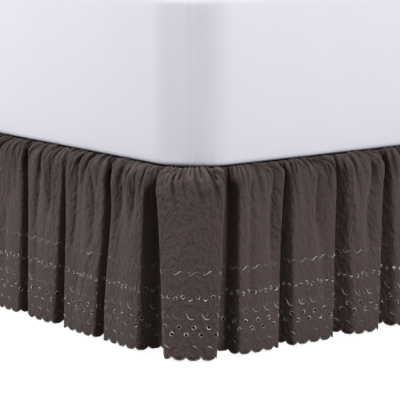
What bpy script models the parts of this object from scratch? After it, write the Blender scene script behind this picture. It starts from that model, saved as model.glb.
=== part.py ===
"""Gathered bed skirt with an eyelet border, hanging on a plain single bed.

Metres, +Z up. The origin is on the floor, under the middle of the whole object.
The foot of the bed faces -Y and its head +Y. The skirt hangs from a platform sheet
that lies between the foundation and the mattress. Its ruffle goes round both long
sides and the foot, in three widths of cloth that are joined in deep folds.

The ruffle ends where the round corners of the head begin. Distances along the
skirt's seam start at the head end of the left side (-X).
Depth is 0 at the seam and 1 at the hem.
"""
import itertools
import math
from collections import namedtuple

import bmesh
import bpy
import numpy as np

# bed: a single of 39 x 75 in
BED_WIDTH = 0.99
BED_LENGTH = 1.905
CORNER_RADIUS = 0.12
CORNER_STEPS = 8
PIECE_GAP = 0.0003

# heights above the floor
SEAM_HEIGHT = 0.3895
DROP = 0.381
HEM_HEIGHT = SEAM_HEIGHT - DROP

# platform sheet, foundation and mattress
PLATFORM_THICKNESS = 0.0015
FOUNDATION_HEIGHT = 0.203
FOUNDATION_INSET = 0.006
FOUNDATION_EDGE = 0.010
MATTRESS_HEIGHT = 0.356
MATTRESS_LIFT = 0.0045
MATTRESS_LIFT_INSET = 0.025
MATTRESS_LOW_EDGE = 0.003
MATTRESS_TOP_EDGE = 0.028

# legs, tapered to the floor
LEG_TOP_RADIUS = 0.032
LEG_FOOT_RADIUS = 0.022
LEG_SIDES = 12
LEG_X = 0.40
LEG_Y = (-0.82, 0.0, 0.82)

# ruffle cloth
CLOTH_THICKNESS = 0.0016
SEAM_OFFSET = PIECE_GAP + CLOTH_THICKNESS / 2
SEAM_CORNER_EASE = 0.0005
FOLD_FLOOR = 0.0022
FOLD_OPENS_IN = 0.008
TROUGH_WIDTH = 0.13
CROWN = 0.07
REACH_AT_SEAM = 0.82
WIDTHS_GAP = 0.0003

# share of a gap's width that is taken by the flank rising out of it, and by the one falling into it
RISE_SHARE = {"side": 0.44, "foot": 0.48}
FALL_SHARE = {"side": 0.36, "foot": 0.44}

# border: one repeat holds one scallop and one large eyelet
REPEAT = 0.030
SCALLOP_RISE = 0.0075
EYELET_ABOVE_HEM = 0.053
EYELET_SIZE = 0.0050
EYELET_BAND = (0.040, 0.066)
PLAIN_ROWS = (0.200, 0.350)
HEM_LIFT_IN_FOLD = 0.0025
CORNER_HEM_DROP = 0.0020
CORNER_HEM_SPREAD = 0.06

# Every row is one fold and the gap that follows it, going away from the corner.
# pitch: seam length of the fold. drift: how far the gap has moved on at the hem.
# gap_top, gap_hem: width of the gap. flat: width of its flat floor.
# reach: how far the fold stands out from the seam at the hem.
# trough, trough_at: depth and place of the soft trough that starts at the seam.
# bow: how far the gap swings towards the corner, most at a quarter of the drop.
Fold = namedtuple("Fold", "pitch drift gap_top gap_hem flat reach trough trough_at bow", defaults=(0.0,))

CORNER_FOLD = Fold(0.064, 0.002, 0.038, 0.088, 0.018, 0.062, 0.004, 0.62)
LEFT_FOLDS = [
    CORNER_FOLD,
    Fold(0.145, 0.020, 0.037, 0.048, 0.004, 0.044, 0.007, 0.34, bow=0.013),
    Fold(0.150, 0.024, 0.030, 0.066, 0.005, 0.047, 0.009, 0.42),
    Fold(0.158, 0.008, 0.028, 0.060, 0.004, 0.045, 0.008, 0.40),
    Fold(0.140, 0.012, 0.024, 0.055, 0.004, 0.044, 0.006, 0.45),
]
FOOT_FOLDS = [
    CORNER_FOLD._replace(pitch=0.069, drift=-0.010, gap_top=0.031, gap_hem=0.046),
    Fold(0.137, -0.009, 0.024, 0.044, 0.004, 0.045, 0.005, 0.55),
    Fold(0.147, -0.003, 0.034, 0.066, 0.004, 0.049, 0.009, 0.68),
    Fold(0.129, -0.006, 0.034, 0.068, 0.004, 0.052, 0.007, 0.22),
    Fold(0.137, -0.004, 0.024, 0.047, 0.004, 0.047, 0.008, 0.50),
    Fold(0.132, -0.006, 0.028, 0.056, 0.005, 0.050, 0.006, 0.38),
]
UNSEEN_FOLDS = [
    Fold(0.131, 0.018, 0.026, 0.050, 0.004, 0.046, 0.007, 0.55),
    Fold(0.145, -0.010, 0.030, 0.058, 0.005, 0.049, 0.008, 0.36),
    Fold(0.124, 0.014, 0.023, 0.046, 0.004, 0.043, 0.005, 0.60),
    Fold(0.139, 0.024, 0.027, 0.062, 0.005, 0.050, 0.009, 0.45),
    Fold(0.128, -0.004, 0.024, 0.048, 0.004, 0.045, 0.006, 0.30),
]

# lengths along the seam, worked out from the bed
SIDE_STRAIGHT = BED_LENGTH - 2 * CORNER_RADIUS
FOOT_STRAIGHT = BED_WIDTH - 2 * CORNER_RADIUS
CORNER_ARC = CORNER_RADIUS * math.pi / 2
LEFT_CORNER = SIDE_STRAIGHT + CORNER_ARC / 2
RIGHT_CORNER = LEFT_CORNER + CORNER_ARC + FOOT_STRAIGHT
SEAM_LENGTH = RIGHT_CORNER + LEFT_CORNER
SEAM_SAMPLES = 6000
STRAIGHT_TOLERANCE = 1e-6


def clear_scene():
    for old in list(bpy.data.objects):
        bpy.data.objects.remove(old, do_unlink=True)


def make_material(name, srgb, roughness):
    """A plain Principled material from an sRGB colour of 0 to 255."""
    material = bpy.data.materials.new(name)
    material.use_nodes = True
    shader = material.node_tree.nodes["Principled BSDF"]
    linear = [(c / 255) ** 2.2 for c in srgb]
    shader.inputs["Base Color"].default_value = (*linear, 1.0)
    shader.inputs["Roughness"].default_value = roughness
    shader.inputs["Metallic"].default_value = 0.0
    return material


def add_object(name, mesh, material, parent, smooth_angle=40.0):
    mesh.materials.append(material)
    mesh.shade_smooth()
    mesh.set_sharp_from_angle(angle=math.radians(smooth_angle))
    piece = bpy.data.objects.new(name, mesh)
    piece.parent = parent
    bpy.context.collection.objects.link(piece)
    return piece


def smooth_step(x):
    x = np.clip(x, 0.0, 1.0)
    return x * x * (3.0 - 2.0 * x)


def seam_path(s):
    """Points and outward normals of the seam, at distances s from its left head end."""
    half_width = BED_WIDTH / 2
    half_length = BED_LENGTH / 2
    foot_from = SIDE_STRAIGHT + CORNER_ARC
    foot_to = foot_from + FOOT_STRAIGHT
    turn = np.clip((s - SIDE_STRAIGHT) / CORNER_ARC, 0, 1) + np.clip((s - foot_to) / CORNER_ARC, 0, 1)
    angle = math.pi + turn * math.pi / 2
    normal = np.stack([np.cos(angle), np.sin(angle)], axis=-1)
    along_left = np.clip(s, 0, SIDE_STRAIGHT)
    along_foot = np.clip(s - foot_from, 0, FOOT_STRAIGHT)
    along_right = np.clip(s - foot_to - CORNER_ARC, 0, SIDE_STRAIGHT)
    centre = np.stack([
        -half_width + CORNER_RADIUS + along_foot,
        half_length - CORNER_RADIUS - along_left + along_right], axis=-1)
    return centre + normal * CORNER_RADIUS, normal


def rows_for(first_rows, length, skip=0):
    """The first rows, then the rows of the unseen stretch in turn, past the length."""
    rows = list(first_rows)
    spare = itertools.islice(itertools.cycle(UNSEEN_FOLDS), skip, None)
    while sum(row.pitch for row in rows) < length:
        rows.append(next(spare))
    return rows


def lay_out_folds():
    """All gaps from the left head end to the right one, as arrays, each with the fold after it."""
    left = rows_for(LEFT_FOLDS, LEFT_CORNER)
    foot = FOOT_FOLDS + [FOOT_FOLDS[1]._replace(
        pitch=RIGHT_CORNER - LEFT_CORNER - CORNER_FOLD.pitch - sum(row.pitch for row in FOOT_FOLDS),
        gap_top=CORNER_FOLD.gap_top, gap_hem=CORNER_FOLD.gap_hem, flat=CORNER_FOLD.flat,
        drift=-CORNER_FOLD.drift)]
    right = rows_for([CORNER_FOLD], LEFT_CORNER, skip=2)

    left_at = LEFT_CORNER - np.cumsum([row.pitch for row in left])
    foot_at = LEFT_CORNER + np.cumsum([row.pitch for row in foot])
    right_at = RIGHT_CORNER + np.cumsum([row.pitch for row in right])
    left_drift = [-row.drift for row in left]
    left_bow = [row.bow for row in left]
    gaps = left[::-1] + foot + right
    folds_after = left[::-1] + foot[1:] + right + right[-1:]
    top = np.concatenate([left_at[::-1], foot_at, right_at])
    drift = np.array(left_drift[::-1] + [row.drift for row in foot + right])
    wall = ["side"] * len(left) + ["foot"] * len(foot) + ["side"] * len(right)
    return {
        "top": top,
        "hem": top + drift,
        "bow": np.array(left_bow[::-1] + [-row.bow for row in foot + right]),
        "gap_top": np.array([row.gap_top for row in gaps]),
        "gap_hem": np.array([row.gap_hem for row in gaps]),
        "flat": np.array([row.flat for row in gaps]),
        "rise": np.array([RISE_SHARE[name] for name in wall]),
        "fall": np.array([FALL_SHARE[name] for name in wall]),
        "reach": np.array([row.reach for row in folds_after]),
        "trough": np.array([row.trough for row in folds_after]),
        "trough_at": np.array([row.trough_at for row in folds_after]),
        "left_joint": len(left) - 1,
        "right_joint": len(left) + len(foot),
    }


def floors_at(folds, depth):
    """Seam distances of the gaps' floors at one depth."""
    swing = 256 / 27 * depth * (1 - depth) ** 3
    return folds["top"] + (folds["hem"] - folds["top"]) * depth + folds["bow"] * swing


def fold_reach(folds, s, depth):
    """How far the cloth stands out from the seam line, and how much of that is fold (0 to 1).

    Between two gaps the cloth rises over a flank, runs along a slightly crowned crest
    with one soft trough, and falls over the next flank.
    """
    floor_at = floors_at(folds, depth)
    gap = folds["gap_top"] + (folds["gap_hem"] - folds["gap_top"]) * depth
    flat = folds["flat"] / 2
    k = np.clip(np.searchsorted(floor_at, s, side="right") - 1, 0, len(floor_at) - 2)
    after = s - floor_at[k]
    before = floor_at[k + 1] - s
    rise_width = gap[k] * folds["rise"][k]
    fall_width = gap[k + 1] * folds["fall"][k + 1]
    rise = smooth_step((after - flat[k]) / (rise_width - flat[k]))
    fall = smooth_step((before - flat[k + 1]) / (fall_width - flat[k + 1]))
    across = after / (after + before)
    crown = 1 - CROWN * (2 * across - 1) ** 2
    trough = folds["trough"][k] * np.exp(-((across - folds["trough_at"][k]) / TROUGH_WIDTH) ** 2)
    crest = folds["reach"][k] * crown * (REACH_AT_SEAM + (1 - REACH_AT_SEAM) * depth) - trough * (1 - depth)
    open_part = 1 - math.exp(-depth * DROP / FOLD_OPENS_IN)
    floor = SEAM_OFFSET + (FOLD_FLOOR - SEAM_OFFSET) * open_part
    raised = rise * fall
    return floor + (crest - floor) * raised * open_part, raised


def plan_curve(folds, depth):
    """Distances along the seam, and the length of the cloth's plan curve up to each of them."""
    s = np.linspace(0, SEAM_LENGTH, SEAM_SAMPLES)
    point, normal = seam_path(s)
    point = point + normal * fold_reach(folds, s, depth)[0][:, None]
    steps = np.hypot(*np.diff(point, axis=0).T)
    return s, np.concatenate([[0.0], np.cumsum(steps)])


def width_of_cloth(folds, first, last):
    """Places of the fold floors on one width of cloth, at the seam, and as cloth lengths at the hem."""
    s, length = plan_curve(folds, 1.0)
    knots = [k for k in range(len(folds["hem"])) if first < folds["hem"][k] < last]
    at_hem = np.concatenate([[first], folds["hem"][knots], [last]])
    cloth = np.interp(at_hem, s, length)
    cloth = cloth - cloth[0]
    repeats = max(1, round(cloth[-1] / REPEAT))
    return knots, cloth * (repeats * REPEAT / cloth[-1]), repeats


def columns_at(folds, ends, cloth_at, depth):
    """Seam distances of points of the cloth, given as cloth lengths, at one depth."""
    knots, cloth, _ = ends["knots"]
    s, length = plan_curve(folds, depth)
    floor_at = floors_at(folds, depth)
    edge_first = ends["top"][0] + (ends["hem"][0] - ends["top"][0]) * depth
    edge_last = ends["top"][1] + (ends["hem"][1] - ends["top"][1]) * depth
    at_depth = np.concatenate([[edge_first], floor_at[knots], [edge_last]])
    target = np.interp(cloth_at, cloth, np.interp(at_depth, s, length))
    found = np.interp(target, length, s)
    found[0] += ends["trim"][0]
    found[-1] -= ends["trim"][1]
    return found


def hem_rise(cloth_at, repeat):
    """Scallops: arcs of a circle whose tips are half a repeat from the notches between them."""
    half = repeat / 2
    radius = (half ** 2 + SCALLOP_RISE ** 2) / (2 * SCALLOP_RISE)
    from_tip = np.mod(cloth_at, repeat) - half
    return radius - np.sqrt(radius ** 2 - from_tip ** 2)


def cloth_points(folds, ends, cloth_at, above_hem):
    """Points of the cloth's middle surface, at heights above the line of the scallops' tips."""
    above_hem = np.broadcast_to(above_hem, cloth_at.shape)
    depth = 1 - float(np.mean(above_hem)) / DROP
    s = columns_at(folds, ends, cloth_at, depth)
    out, raised = fold_reach(folds, s, depth)
    point, normal = seam_path(s)
    if depth == 0:
        on_corner = np.abs(normal[:, 0] * normal[:, 1]) > STRAIGHT_TOLERANCE
        out = out + SEAM_CORNER_EASE * on_corner
    point = point + normal * out[:, None]
    from_corner = np.minimum(np.abs(s - LEFT_CORNER), np.abs(s - RIGHT_CORNER))
    at_corner = np.exp(-(from_corner / CORNER_HEM_SPREAD) ** 4)
    lift = HEM_LIFT_IN_FOLD * (1 - raised) - CORNER_HEM_DROP * at_corner
    height = HEM_HEIGHT + above_hem + lift * (1 - above_hem / DROP)
    return np.column_stack([point, height])


def add_eyelet(bm, corners, middle, across, up):
    """Faces of one cell of cloth round a four-sided eyelet."""
    half = EYELET_SIZE / 2
    turns = [(-1, -1), (1, -1), (1, 1), (-1, 1)]
    rim = [bm.verts.new(middle + half * (a * across + b * up)) for a, b in turns]
    for i in range(4):
        j = (i + 1) % 4
        bm.faces.new([corners[i], corners[j], rim[j], rim[i]])


def make_ruffle(name, folds, first, last, material, parent):
    """One width of the ruffle, from one seam distance (top, hem, trim) to another."""
    ends = {"top": (first[0], last[0]), "hem": (first[1], last[1]), "trim": (first[2], last[2])}
    ends["knots"] = width_of_cloth(folds, first[1], last[1])
    repeats = ends["knots"][2]
    length = repeats * REPEAT
    bm = bmesh.new()

    def row_of(cloth_at, above_hem):
        return [bm.verts.new(p) for p in cloth_points(folds, ends, np.array(cloth_at), above_hem)]

    quarter = REPEAT / 4
    hem_at = np.arange(4 * repeats + 1) * quarter
    inner = quarter + np.arange(2 * repeats) * (REPEAT / 2)
    column_at = np.concatenate([[0.0], inner, [length]])
    seam_at = np.concatenate([[0.0], (np.arange(repeats) + 0.5) * REPEAT, [length]])

    hem = row_of(hem_at, hem_rise(hem_at, REPEAT))
    rows = [row_of(column_at, above) for above in EYELET_BAND + PLAIN_ROWS]
    seam = row_of(seam_at, DROP)

    # scalloped edge: every second hem point lies under a column
    low = rows[0]
    bm.faces.new([hem[0], hem[1], low[1], low[0]])
    for i in range(1, 2 * repeats):
        left, tip, right = hem[2 * i - 1], hem[2 * i], hem[2 * i + 1]
        bm.faces.new([left, tip, low[i]])
        bm.faces.new([tip, low[i + 1], low[i]])
        bm.faces.new([tip, right, low[i + 1]])
    bm.faces.new([hem[-2], hem[-1], low[-1], low[-2]])

    # band of large eyelets, one above each notch
    high = rows[1]
    eyelet_at = (EYELET_ABOVE_HEM - EYELET_BAND[0]) / (EYELET_BAND[1] - EYELET_BAND[0])
    for i in range(2 * repeats + 1):
        corners = [low[i], low[i + 1], high[i + 1], high[i]]
        if i % 2 or i in (0, 2 * repeats):
            bm.faces.new(corners)
            continue
        bottom = (low[i].co + low[i + 1].co) / 2
        top = (high[i].co + high[i + 1].co) / 2
        across = (low[i + 1].co + high[i + 1].co - low[i].co - high[i].co).normalized()
        add_eyelet(bm, corners, bottom.lerp(top, eyelet_at), across, (top - bottom).normalized())

    # plain cloth
    for low, high in zip(rows[1:], rows[2:]):
        for i in range(2 * repeats + 1):
            bm.faces.new([low[i], low[i + 1], high[i + 1], high[i]])

    # gathered top: one seam point for each pair of columns
    low = rows[-1]
    bm.faces.new([low[0], low[1], seam[1], seam[0]])
    for i in range(repeats):
        bm.faces.new([low[2 * i + 1], low[2 * i + 2], seam[i + 1]])
        bm.faces.new([low[2 * i + 2], low[2 * i + 3], seam[i + 2], seam[i + 1]])

    bmesh.ops.recalc_face_normals(bm, faces=bm.faces)
    bmesh.ops.triangulate(bm, faces=bm.faces)
    mesh = bpy.data.meshes.new(name)
    bm.to_mesh(mesh)
    bm.free()
    ruffle = add_object(name, mesh, material, parent, smooth_angle=60.0)
    cloth = ruffle.modifiers.new("cloth", "SOLIDIFY")
    cloth.thickness = CLOTH_THICKNESS
    cloth.offset = 0.0
    return ruffle


def rounded_outline(inset, steps=CORNER_STEPS):
    """Outline of the bed with round corners, moved inwards by the inset."""
    radius = CORNER_RADIUS - inset
    outline = []
    for quarter, (sx, sy) in enumerate([(1, 1), (-1, 1), (-1, -1), (1, -1)]):
        cx = sx * (BED_WIDTH / 2 - CORNER_RADIUS)
        cy = sy * (BED_LENGTH / 2 - CORNER_RADIUS)
        for step in range(steps + 1):
            angle = (quarter + step / steps) * math.pi / 2
            outline.append((cx + radius * math.cos(angle), cy + radius * math.sin(angle)))
    return outline


def make_stack(name, levels, material, parent, steps=CORNER_STEPS):
    """A solid of rounded outlines, one above the other: levels are (height, inset)."""
    bm = bmesh.new()
    rings = [[bm.verts.new((x, y, z)) for x, y in rounded_outline(inset, steps)] for z, inset in levels]
    count = len(rings[0])
    for low, high in zip(rings, rings[1:]):
        for i in range(count):
            j = (i + 1) % count
            bm.faces.new([low[i], low[j], high[j], high[i]])
    bm.faces.new(rings[0][::-1])
    bm.faces.new(rings[-1])
    mesh = bpy.data.meshes.new(name)
    bm.to_mesh(mesh)
    bm.free()
    return add_object(name, mesh, material, parent)


def make_platform(parent):
    material = make_material("platform_cloth", (70, 60, 57), 0.9)
    levels = [(SEAM_HEIGHT - PLATFORM_THICKNESS, 0.0), (SEAM_HEIGHT, 0.0)]
    return make_stack("platform", levels, material, parent)


def make_foundation(parent):
    material = make_material("foundation_cloth", (205, 200, 192), 0.85)
    top = SEAM_HEIGHT - PLATFORM_THICKNESS - PIECE_GAP
    bottom = top - FOUNDATION_HEIGHT
    levels = [
        (bottom, FOUNDATION_INSET + FOUNDATION_EDGE),
        (bottom + FOUNDATION_EDGE, FOUNDATION_INSET),
        (top - FOUNDATION_EDGE, FOUNDATION_INSET),
        (top, FOUNDATION_INSET + FOUNDATION_EDGE),
    ]
    return make_stack("foundation", levels, material, parent, steps=5), bottom


def make_mattress(parent):
    """Flat underside that turns up at its rim, upright sides and a rounded top edge."""
    material = make_material("mattress_sheet", (224, 224, 236), 0.8)
    bottom = SEAM_HEIGHT + PIECE_GAP
    rim = bottom + MATTRESS_LIFT
    top = bottom + MATTRESS_HEIGHT
    levels = [
        (bottom, MATTRESS_LIFT_INSET),
        (rim, MATTRESS_LOW_EDGE),
        (rim + MATTRESS_LOW_EDGE, 0.0),
    ]
    for turn in (0, 30, 60, 90):
        angle = math.radians(turn)
        levels.append((
            top - MATTRESS_TOP_EDGE * (1 - math.sin(angle)),
            MATTRESS_TOP_EDGE * (1 - math.cos(angle))))
    return make_stack("mattress", levels, material, parent, steps=6)


def make_legs(parent, top):
    material = make_material("leg_wood", (96, 66, 44), 0.45)
    legs = []
    for side, x in (("left", -LEG_X), ("right", LEG_X)):
        for place, y in zip(("foot", "middle", "head"), LEG_Y):
            bm = bmesh.new()
            bmesh.ops.create_cone(
                bm, cap_ends=True, segments=LEG_SIDES, radius1=LEG_FOOT_RADIUS,
                radius2=LEG_TOP_RADIUS, depth=top)
            mesh = bpy.data.meshes.new("leg")
            bm.to_mesh(mesh)
            bm.free()
            leg = add_object(f"leg_{side}_{place}", mesh, material, parent)
            leg.location = (x, y, top / 2)
            legs.append(leg)
    return legs


def make_skirt(parent):
    material = make_material("ruffle_cloth", (72, 62, 59), 0.9)
    folds = lay_out_folds()
    left, right = folds["left_joint"], folds["right_joint"]
    trim = WIDTHS_GAP / 2
    head_left = (0.0, 0.0, 0.0)
    head_right = (SEAM_LENGTH, SEAM_LENGTH, 0.0)
    join_left = (folds["top"][left], folds["hem"][left], trim)
    join_right = (folds["top"][right], folds["hem"][right], trim)
    return [
        make_ruffle("ruffle_left", folds, head_left, join_left, material, parent),
        make_ruffle("ruffle_foot", folds, join_left, join_right, material, parent),
        make_ruffle("ruffle_right", folds, join_right, head_right, material, parent),
    ]


def centre_on_floor(base, pieces):
    """Moves the whole bed so that the origin is under the middle of its outline."""
    bpy.context.view_layer.update()
    graph = bpy.context.evaluated_depsgraph_get()
    corners = []
    for piece in pieces:
        seen = piece.evaluated_get(graph)
        corners += [seen.matrix_world @ v.co for v in seen.data.vertices]
    xs = [c.x for c in corners]
    ys = [c.y for c in corners]
    base.location = (-(min(xs) + max(xs)) / 2, -(min(ys) + max(ys)) / 2, 0.0)
    bpy.context.view_layer.update()


def main():
    clear_scene()
    base = bpy.data.objects.new("bed", None)
    bpy.context.collection.objects.link(base)
    foundation, underside = make_foundation(base)
    pieces = [foundation, make_platform(base), make_mattress(base)]
    pieces += make_legs(base, underside - PIECE_GAP)
    pieces += make_skirt(base)
    centre_on_floor(base, pieces)


main()
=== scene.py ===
# Gathered bed skirt with an eyelet border, on a plain single bed.
# Metres, +Z up; the foot of the bed faces -Y. Along the skirt, s is the distance on its seam from
# the head end of the left side, u the distance on the cloth itself, v the height above the tips of
# the scallops, and depth runs from 0 at the seam to 1 at the hem.
import itertools
import math
from collections import namedtuple

import bpy
import numpy as np
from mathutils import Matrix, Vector


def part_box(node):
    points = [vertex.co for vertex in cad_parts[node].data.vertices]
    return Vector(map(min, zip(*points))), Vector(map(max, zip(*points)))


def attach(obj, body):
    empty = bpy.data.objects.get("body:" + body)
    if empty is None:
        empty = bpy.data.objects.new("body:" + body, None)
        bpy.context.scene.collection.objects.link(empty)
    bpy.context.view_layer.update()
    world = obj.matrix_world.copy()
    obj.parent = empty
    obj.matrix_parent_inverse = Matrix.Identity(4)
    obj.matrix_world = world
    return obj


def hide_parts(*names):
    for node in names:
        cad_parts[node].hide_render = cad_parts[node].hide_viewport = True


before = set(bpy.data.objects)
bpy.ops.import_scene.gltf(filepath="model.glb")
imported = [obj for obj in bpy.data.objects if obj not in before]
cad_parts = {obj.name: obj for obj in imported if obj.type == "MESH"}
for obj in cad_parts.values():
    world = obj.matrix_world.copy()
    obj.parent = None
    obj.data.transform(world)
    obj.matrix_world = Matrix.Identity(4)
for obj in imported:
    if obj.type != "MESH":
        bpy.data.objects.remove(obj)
scene = bpy.context.scene
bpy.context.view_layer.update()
mattressLow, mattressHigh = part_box("mattress")
bedMiddleY = (mattressLow.y + mattressHigh.y) / 2

bed = {"width": 0.99, "length": 1.905, "cornerRadius": 0.12, "seamHeight": 0.3895, "drop": 0.381}
hemHeight = bed["seamHeight"] - bed["drop"]
sideStraight = bed["length"] - 2 * bed["cornerRadius"]
footStraight = bed["width"] - 2 * bed["cornerRadius"]
cornerArc = bed["cornerRadius"] * math.pi / 2
leftCorner = sideStraight + cornerArc / 2
rightCorner = leftCorner + cornerArc + footStraight
seamLength = rightCorner + leftCorner


# Shapes from arrays

# A new object from an array of points and arrays of three- or four-sided faces; points that no face
# uses are dropped. uv and the painted light hold one row for each point; the painted light is the
# strength of a painted glint on a thread's stitches, and on the cloth the painted shade deep in the
# gathers.
def meshPiece(name, points, faces, material, uv=None, paintedLight=None):
    corners = np.concatenate([f.ravel() for f in faces])
    sizes = np.concatenate([np.full(len(f), f.shape[1]) for f in faces])
    used, corners = np.unique(corners, return_inverse=True)
    corners = corners.ravel()
    mesh = bpy.data.meshes.new(name)
    mesh.vertices.add(len(used))
    mesh.vertices.foreach_set("co", points[used].astype(np.float32).ravel())
    mesh.loops.add(len(corners))
    mesh.loops.foreach_set("vertex_index", corners.astype(np.int32))
    mesh.polygons.add(len(sizes))
    mesh.polygons.foreach_set("loop_start", (np.cumsum(sizes) - sizes).astype(np.int32))
    mesh.update(calc_edges=True)
    if uv is not None:
        layer = mesh.uv_layers.new(name="cloth")
        layer.data.foreach_set("uv", uv[used][corners].astype(np.float32).ravel())
    if paintedLight is not None:
        layer = mesh.attributes.new("paintedLight", "FLOAT", "POINT")
        layer.data.foreach_set("value", paintedLight[used].astype(np.float32))
    mesh.validate()
    mesh.shade_smooth()
    mesh.materials.append(material)
    return placed(name, mesh)


def placed(name, data):
    made = bpy.data.objects.new(name, data)
    scene.collection.objects.link(made)
    return made


# Quads of a grid of points stored row by row; a ring joins the last column to the first.
def gridFaces(rows, columns, ring=False):
    i = np.arange(rows - 1)[:, None] * columns
    j = np.arange(columns if ring else columns - 1)[None, :]
    k = (j + 1) % columns
    return np.stack([i + j, i + k, i + columns + k, i + columns + j], axis=-1).reshape(-1, 4)


def smoothStep(x):
    x = np.clip(x, 0.0, 1.0)
    return x * x * (3.0 - 2.0 * x)


# A wave through alternate highs and lows of uneven height, at uneven places about one spacing
# apart, eased from one to the next.
def unevenWave(x, spacing, seed):
    draw = np.random.default_rng(seed)
    count = int((np.max(x) - np.min(x)) / (0.55 * spacing)) + 8
    places = np.min(x) - 2 * spacing + np.cumsum(spacing * draw.uniform(0.55, 1.45, count))
    heights = draw.uniform(0.35, 1.0, count) * np.where(np.arange(count) % 2, 1, -1)
    k = np.clip(np.searchsorted(places, x) - 1, 0, count - 2)
    part = smoothStep((x - places[k]) / (places[k + 1] - places[k]))
    return heights[k] + (heights[k + 1] - heights[k]) * part


# The folds of the skirt, as in the part's own source

Fold = namedtuple("Fold", "pitch drift gapTop gapHem flat reach trough bow troughAt")


# Folds from rows of these numbers; the last is a share, and the others are in millimetres.
def foldsFrom(*rows):
    return [Fold(*(size / 1000 for size in sizes), place) for *sizes, place in rows]


cornerFold, = foldsFrom((64, 2, 38, 88, 18, 62, 4, 0, 0.62))
leftFolds = [cornerFold] + foldsFrom(
    (145, 20, 37, 48, 4, 44, 7, 13, 0.34), (150, 24, 30, 66, 5, 47, 9, 0, 0.42),
    (158, 8, 28, 60, 4, 45, 8, 0, 0.4), (140, 12, 24, 55, 4, 44, 6, 0, 0.45))
footFolds = [cornerFold._replace(pitch=0.069, drift=-0.010, gapTop=0.031, gapHem=0.046)] + foldsFrom(
    (137, -9, 24, 44, 4, 45, 5, 0, 0.55), (147, -3, 34, 66, 4, 49, 9, 0, 0.68),
    (129, -6, 34, 68, 4, 52, 7, 0, 0.22), (137, -4, 24, 47, 4, 47, 8, 0, 0.5),
    (132, -6, 28, 56, 5, 50, 6, 0, 0.38))
unseenFolds = foldsFrom(
    (131, 18, 26, 50, 4, 46, 7, 0, 0.55), (145, -10, 30, 58, 5, 49, 8, 0, 0.36),
    (124, 14, 23, 46, 4, 43, 5, 0, 0.6), (139, 24, 27, 62, 5, 50, 9, 0, 0.45),
    (128, -4, 24, 48, 4, 45, 6, 0, 0.3))
foldShape = {
    "seamOffset": 0.0011, "floor": 0.0022, "opensIn": 0.008,
    "riseShare": {"side": 0.44, "foot": 0.48}, "fallShare": {"side": 0.36, "foot": 0.44},
    "troughWidth": 0.13, "crown": 0.07, "reachAtSeam": 0.82, "widthsGap": 0.0003,
    "hemLift": 0.0025, "cornerDrop": 0.0020, "cornerSpread": 0.06, "samples": 6000,
    "squareness": 1.9,  # how full the foot-side edge of a left fold is; 1 is the part's own shape
}


# Points and outward normals of the bed's outline: straight sides joined by quarter circles, worked
# out from the distance a, from the head end of the left side round by the foot. The skirt's seam is
# the first part of it.
def seamPath(a):
    footFrom = sideStraight + cornerArc
    rightFrom = footFrom + footStraight + cornerArc
    headFrom = rightFrom + sideStraight + cornerArc
    turn = np.zeros_like(a)
    for cornerFrom in (sideStraight, rightFrom - cornerArc, headFrom - cornerArc, headFrom + footStraight):
        turn = turn + np.clip((a - cornerFrom) / cornerArc, 0, 1)
    angle = math.pi + turn * math.pi / 2
    normal = np.stack([np.cos(angle), np.sin(angle)], axis=-1)
    x = np.clip(a - footFrom, 0, footStraight) - np.clip(a - headFrom, 0, footStraight) - footStraight / 2
    y = np.clip(a - rightFrom, 0, sideStraight) - np.clip(a, 0, sideStraight) + sideStraight / 2
    centre = np.stack([x, y + bedMiddleY], axis=-1)
    return centre + normal * bed["cornerRadius"], normal


def rowsFor(firstRows, length, skip=0):
    rows = list(firstRows)
    spare = itertools.islice(itertools.cycle(unseenFolds), skip, None)
    while sum(row.pitch for row in rows) < length:
        rows.append(next(spare))
    return rows


def columnsOf(rows, *names):
    return {name: np.array([getattr(row, name) for row in rows]) for name in names}


# All gaps from the left head end to the right one, as arrays, each with the fold after it.
def layOutFolds():
    left = rowsFor(leftFolds, leftCorner)
    foot = footFolds + [footFolds[1]._replace(
        pitch=rightCorner - leftCorner - cornerFold.pitch - sum(row.pitch for row in footFolds),
        gapTop=cornerFold.gapTop, gapHem=cornerFold.gapHem, flat=cornerFold.flat, drift=-cornerFold.drift)]
    right = rowsFor([cornerFold], leftCorner, skip=2)
    gaps = left[::-1] + foot + right
    foldsAfter = left[::-1] + foot[1:] + right + right[-1:]
    onLeft, onFoot, onRight = (np.cumsum([row.pitch for row in rows]) for rows in (left, foot, right))
    top = np.concatenate([(leftCorner - onLeft)[::-1], leftCorner + onFoot, rightCorner + onRight])
    drift = np.array([-row.drift for row in left[::-1]] + [row.drift for row in foot + right])
    wall = ["side"] * len(left) + ["foot"] * len(foot) + ["side"] * len(right)
    return {
        "top": top, "hem": top + drift,
        "bow": np.array([row.bow for row in left[::-1]] + [-row.bow for row in foot + right]),
        "rise": np.array([foldShape["riseShare"][name] for name in wall]),
        "fall": np.array([foldShape["fallShare"][name] for name in wall]),
        **columnsOf(gaps, "gapTop", "gapHem", "flat"),
        **columnsOf(foldsAfter, "reach", "trough", "troughAt"),
        "cornerFold": len(left) - 1,
        "joints": [len(left) - 1, len(left) + len(foot)],
    }


folds = layOutFolds()


# The middle of every gap: a straight line from seam to hem, bowed most at a quarter of the drop.
def floorsAt(depth):
    swing = 256 / 27 * depth * (1 - depth) ** 3
    return folds["top"] + (folds["hem"] - folds["top"]) * depth + folds["bow"] * swing


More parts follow.
